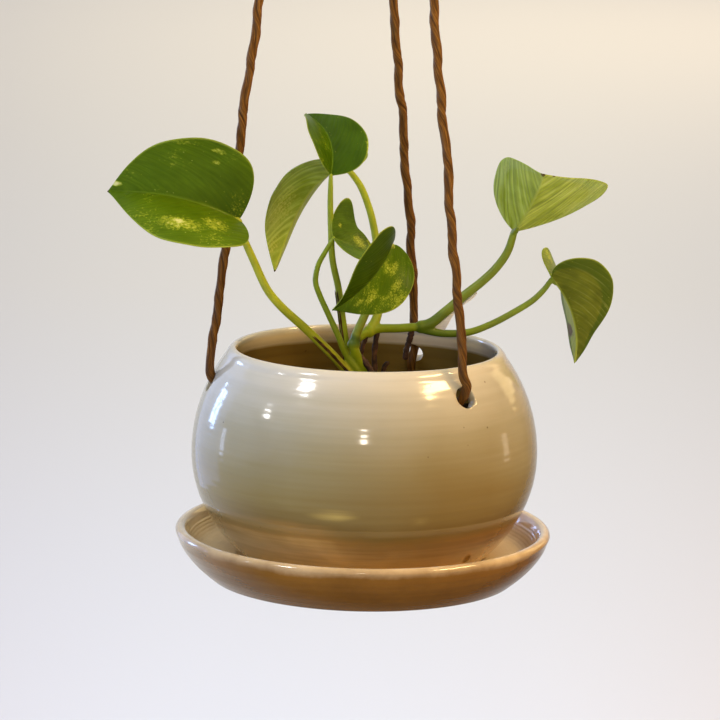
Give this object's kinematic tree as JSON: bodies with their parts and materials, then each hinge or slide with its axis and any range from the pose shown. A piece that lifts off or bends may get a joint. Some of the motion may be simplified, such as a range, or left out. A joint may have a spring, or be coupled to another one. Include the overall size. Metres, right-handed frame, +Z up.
{
  "type": "potted golden pothos in a hanging pot",
  "caption": "Young trailing houseplant with heart-shaped variegated leaves in a glazed globe pot with a fixed saucer, hung by twisted cords from one knotted loop.",
  "frame": {"origin": "where a hook bears: the underside of the hanging loop's crown", "axes": "+Z up along the hang line, -Y towards the viewer of the front, +X to the right"},
  "size_m": [0.2346, 0.1734, 0.5102],
  "materials": {
    "cream_glaze": "glossy cream glaze with grey-green and ochre streaks",
    "amber_glaze": "amber-brown glaze, paler where it breaks over the lip",
    "potting_soil": "loose dark potting mix of bark and peat",
    "green_stalk": "smooth yellow-green stalks, darker at the joints",
    "green_leaf": "waxy green with yellow-green variegation, paler underneath",
    "brown_root": "dry brown aerial root",
    "papery_sheath": "thin dried leaf sheath",
    "brown_cord": "twisted brown waxed cord"
  },
  "bodies": {
    "root": {"pot": "cream_glaze", "saucer": "amber_glaze", "soil": "potting_soil", "vine": "green_stalk", "leaf_a": "green_leaf", "leaf_b": "green_leaf", "leaf_c": "green_leaf", "leaf_d": "green_leaf", "leaf_e": "green_leaf", "leaf_f": "green_leaf", "leaf_g": "green_leaf", "root_1": "brown_root", "root_2": "brown_root", "root_3": "brown_root", "root_4": "brown_root", "root_5": "brown_root", "leaf_sheath": "papery_sheath", "soil_crumb": "potting_soil", "cord_left": "brown_cord", "cord_right": "brown_cord", "cord_back": "brown_cord", "stop_knot_left": "brown_cord", "stop_knot_right": "brown_cord", "stop_knot_back": "brown_cord", "hanging_knot": "brown_cord"}
  },
  "joints": []
}
